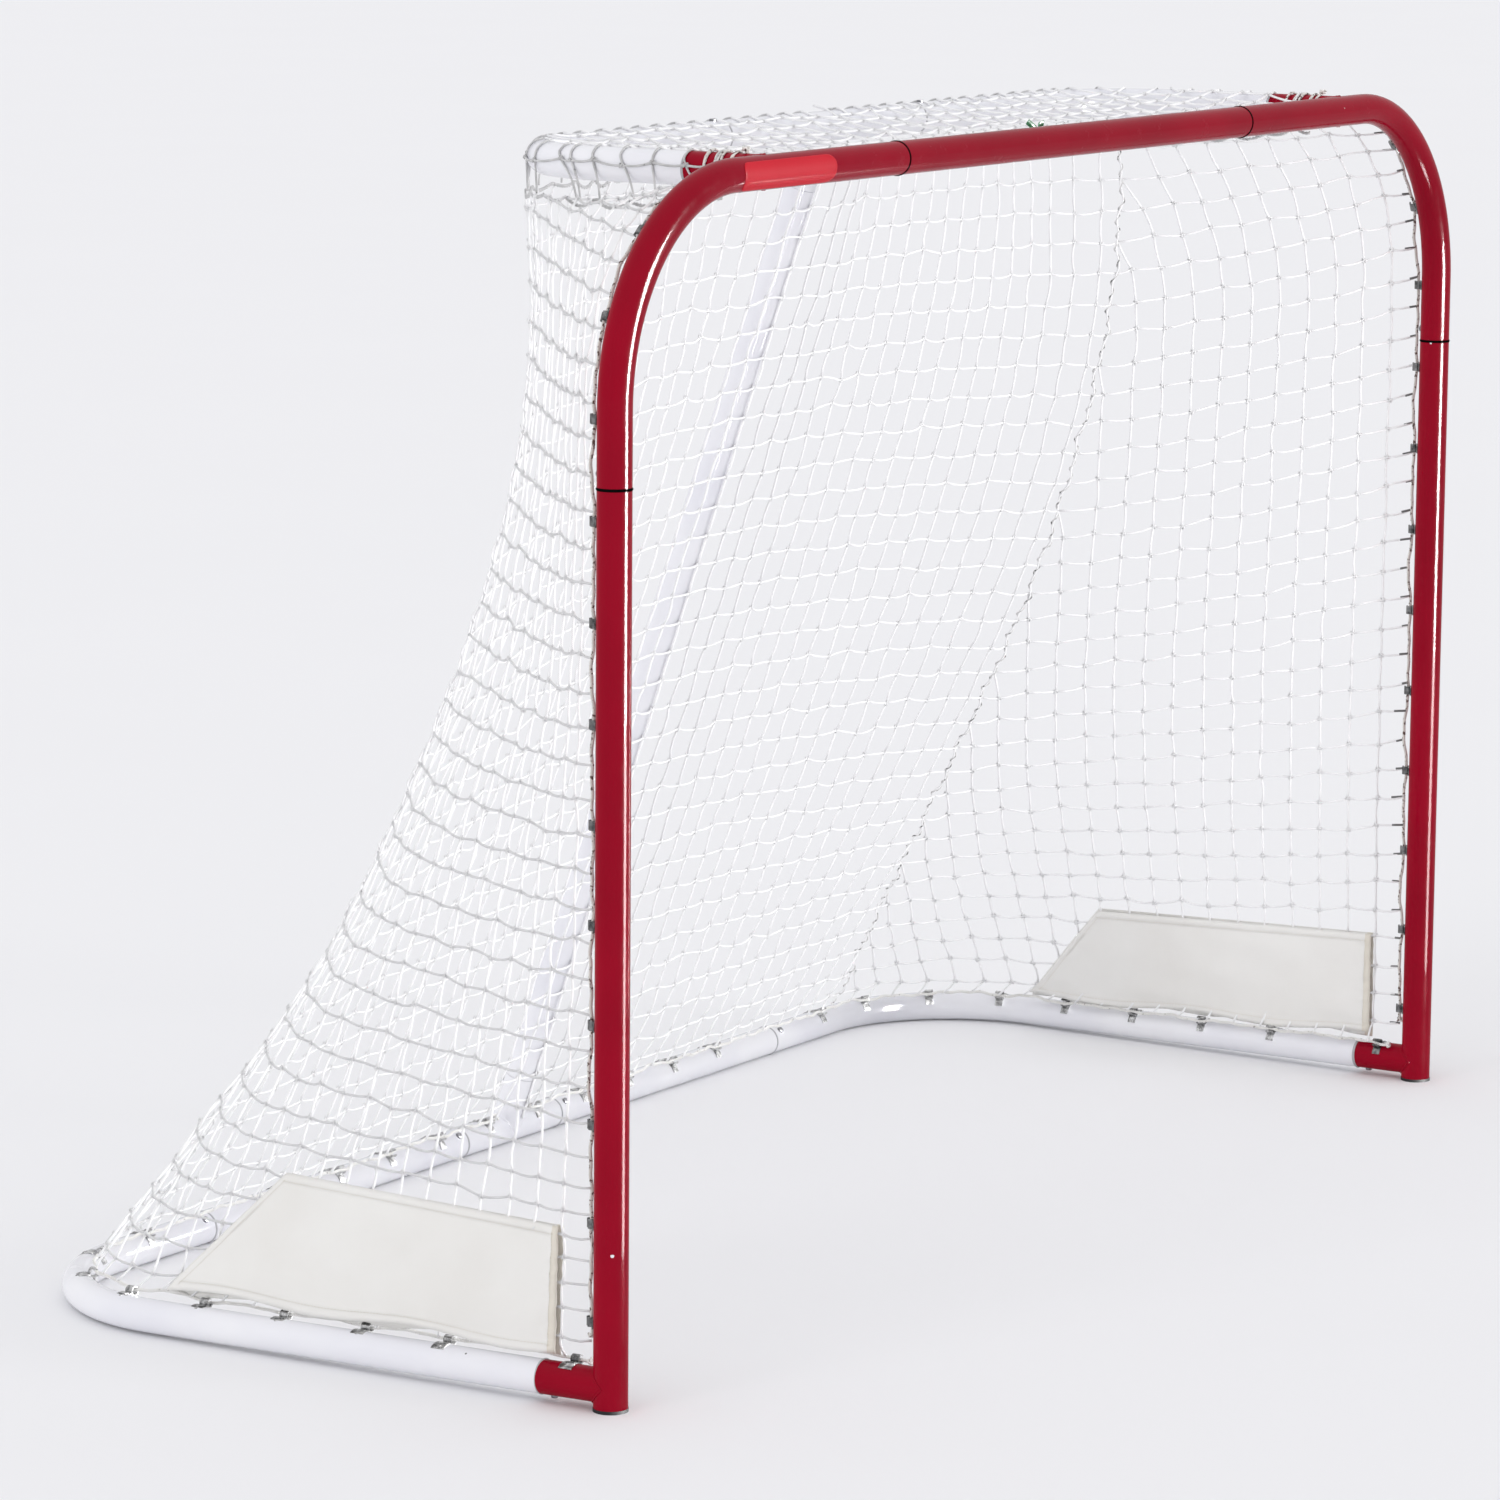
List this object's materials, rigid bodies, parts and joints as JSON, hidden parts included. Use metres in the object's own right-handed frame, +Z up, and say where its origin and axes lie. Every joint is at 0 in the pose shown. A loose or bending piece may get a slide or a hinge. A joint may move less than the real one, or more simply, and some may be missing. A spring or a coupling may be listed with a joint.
{
  "type": "hockey goal",
  "caption": "Free-standing hockey goal: bent red steel front frame, white base and shelf tubes, knotted white net laced to clips, canvas skirts.",
  "frame": {"origin": "on the floor, under the middle of the goal's overall box", "axes": "+X along the crossbar, to the right of a player who faces the mouth; +Y from the mouth to the back; +Z up"},
  "size_m": [1.936, 0.7994, 1.2575],
  "materials": {
    "red_paint": "gloss powder coat",
    "white_paint": "gloss powder coat",
    "foot_plastic": "satin moulded",
    "clip_zinc": "zinc plated strip",
    "button_steel": "plated",
    "net_cord": "braided cord",
    "lacing_cord": "twisted cord",
    "skirt_canvas": "plain weave canvas"
  },
  "bodies": {
    "frame": {"left_lower_post": "red_paint", "left_top_corner": "red_paint", "left_foot_cap": "foot_plastic", "left_base_corner": "white_paint", "left_base_rear": "white_paint", "left_base_lace": "lacing_cord", "left_shelf_corner": "white_paint", "left_post_clips": "clip_zinc", "left_corner_clips": "clip_zinc", "left_base_clips": "clip_zinc", "left_post_lace": "lacing_cord", "left_side_net": "net_cord", "left_skirt": "skirt_canvas", "right_lower_post": "red_paint", "right_top_corner": "red_paint", "right_foot_cap": "foot_plastic", "right_base_corner": "white_paint", "right_base_rear": "white_paint", "right_base_lace": "lacing_cord", "right_shelf_corner": "white_paint", "right_post_clips": "clip_zinc", "right_corner_clips": "clip_zinc", "right_base_clips": "clip_zinc", "right_post_lace": "lacing_cord", "right_side_net": "net_cord", "right_skirt": "skirt_canvas", "crossbar_centre": "red_paint", "base_centre": "white_paint", "shelf_centre": "white_paint", "centre_pole": "white_paint", "crossbar_clips": "clip_zinc", "rear_clips": "clip_zinc", "crossbar_lace": "lacing_cord", "back_net": "net_cord", "top_net": "net_cord"},
    "left_post_button": {"left_post_button": "button_steel"},
    "right_post_button": {"right_post_button": "button_steel"},
    "left_crossbar_button": {"left_crossbar_button": "button_steel"},
    "right_crossbar_button": {"right_crossbar_button": "button_steel"},
    "left_base_side_button": {"left_base_side_button": "button_steel"},
    "right_base_side_button": {"right_base_side_button": "button_steel"},
    "left_base_rear_button": {"left_base_rear_button": "button_steel"},
    "right_base_rear_button": {"right_base_rear_button": "button_steel"},
    "left_base_centre_button": {"left_base_centre_button": "button_steel"},
    "right_base_centre_button": {"right_base_centre_button": "button_steel"},
    "left_shelf_side_button": {"left_shelf_side_button": "button_steel"},
    "right_shelf_side_button": {"right_shelf_side_button": "button_steel"},
    "left_shelf_rear_button": {"left_shelf_rear_button": "button_steel"},
    "right_shelf_rear_button": {"right_shelf_rear_button": "button_steel"},
    "pole_foot_button": {"pole_foot_button": "button_steel"},
    "pole_head_button": {"pole_head_button": "button_steel"}
  },
  "joints": [
    {"name": "left_post_button_press", "type": "slide", "parent": "frame", "child": "left_post_button", "axis": [0, -1, 0], "range_m": [0, 0.0042], "stiffness_N_per_m": 1500},
    {"name": "right_post_button_press", "type": "slide", "parent": "frame", "child": "right_post_button", "axis": [0, -1, 0], "range_m": [0, 0.0042], "stiffness_N_per_m": 1500},
    {"name": "left_crossbar_button_press", "type": "slide", "parent": "frame", "child": "left_crossbar_button", "axis": [0, -1, 0], "range_m": [0, 0.0042], "stiffness_N_per_m": 1500},
    {"name": "right_crossbar_button_press", "type": "slide", "parent": "frame", "child": "right_crossbar_button", "axis": [0, -1, 0], "range_m": [0, 0.0042], "stiffness_N_per_m": 1500},
    {"name": "left_base_side_button_press", "type": "slide", "parent": "frame", "child": "left_base_side_button", "axis": [0, 0.0092, 1], "range_m": [0, 0.0042], "stiffness_N_per_m": 1500},
    {"name": "right_base_side_button_press", "type": "slide", "parent": "frame", "child": "right_base_side_button", "axis": [0, 0.0092, 1], "range_m": [0, 0.0042], "stiffness_N_per_m": 1500},
    {"name": "left_base_rear_button_press", "type": "slide", "parent": "frame", "child": "left_base_rear_button", "axis": [0, 0.7006, -0.7136], "range_m": [0, 0.0042], "stiffness_N_per_m": 1500},
    {"name": "right_base_rear_button_press", "type": "slide", "parent": "frame", "child": "right_base_rear_button", "axis": [0, 0.7006, -0.7136], "range_m": [0, 0.0042], "stiffness_N_per_m": 1500},
    {"name": "left_base_centre_button_press", "type": "slide", "parent": "frame", "child": "left_base_centre_button", "axis": [0, 0.7006, -0.7136], "range_m": [0, 0.0042], "stiffness_N_per_m": 1500},
    {"name": "right_base_centre_button_press", "type": "slide", "parent": "frame", "child": "right_base_centre_button", "axis": [0, 0.7006, -0.7136], "range_m": [0, 0.0042], "stiffness_N_per_m": 1500},
    {"name": "left_shelf_side_button_press", "type": "slide", "parent": "frame", "child": "left_shelf_side_button", "axis": [-0.7071, 0, 0.7071], "range_m": [0, 0.0042], "stiffness_N_per_m": 1500},
    {"name": "right_shelf_side_button_press", "type": "slide", "parent": "frame", "child": "right_shelf_side_button", "axis": [0.7071, 0, 0.7071], "range_m": [0, 0.0042], "stiffness_N_per_m": 1500},
    {"name": "left_shelf_rear_button_press", "type": "slide", "parent": "frame", "child": "left_shelf_rear_button", "axis": [0, 0, -1], "range_m": [0, 0.0042], "stiffness_N_per_m": 1500},
    {"name": "right_shelf_rear_button_press", "type": "slide", "parent": "frame", "child": "right_shelf_rear_button", "axis": [0, 0, -1], "range_m": [0, 0.0042], "stiffness_N_per_m": 1500},
    {"name": "pole_foot_button_press", "type": "slide", "parent": "frame", "child": "pole_foot_button", "axis": [0, -0.9431, -0.3326], "range_m": [0, 0.0042], "stiffness_N_per_m": 1500},
    {"name": "pole_head_button_press", "type": "slide", "parent": "frame", "child": "pole_head_button", "axis": [0, -0.9431, -0.3326], "range_m": [0, 0.0042], "stiffness_N_per_m": 1500}
  ]
}
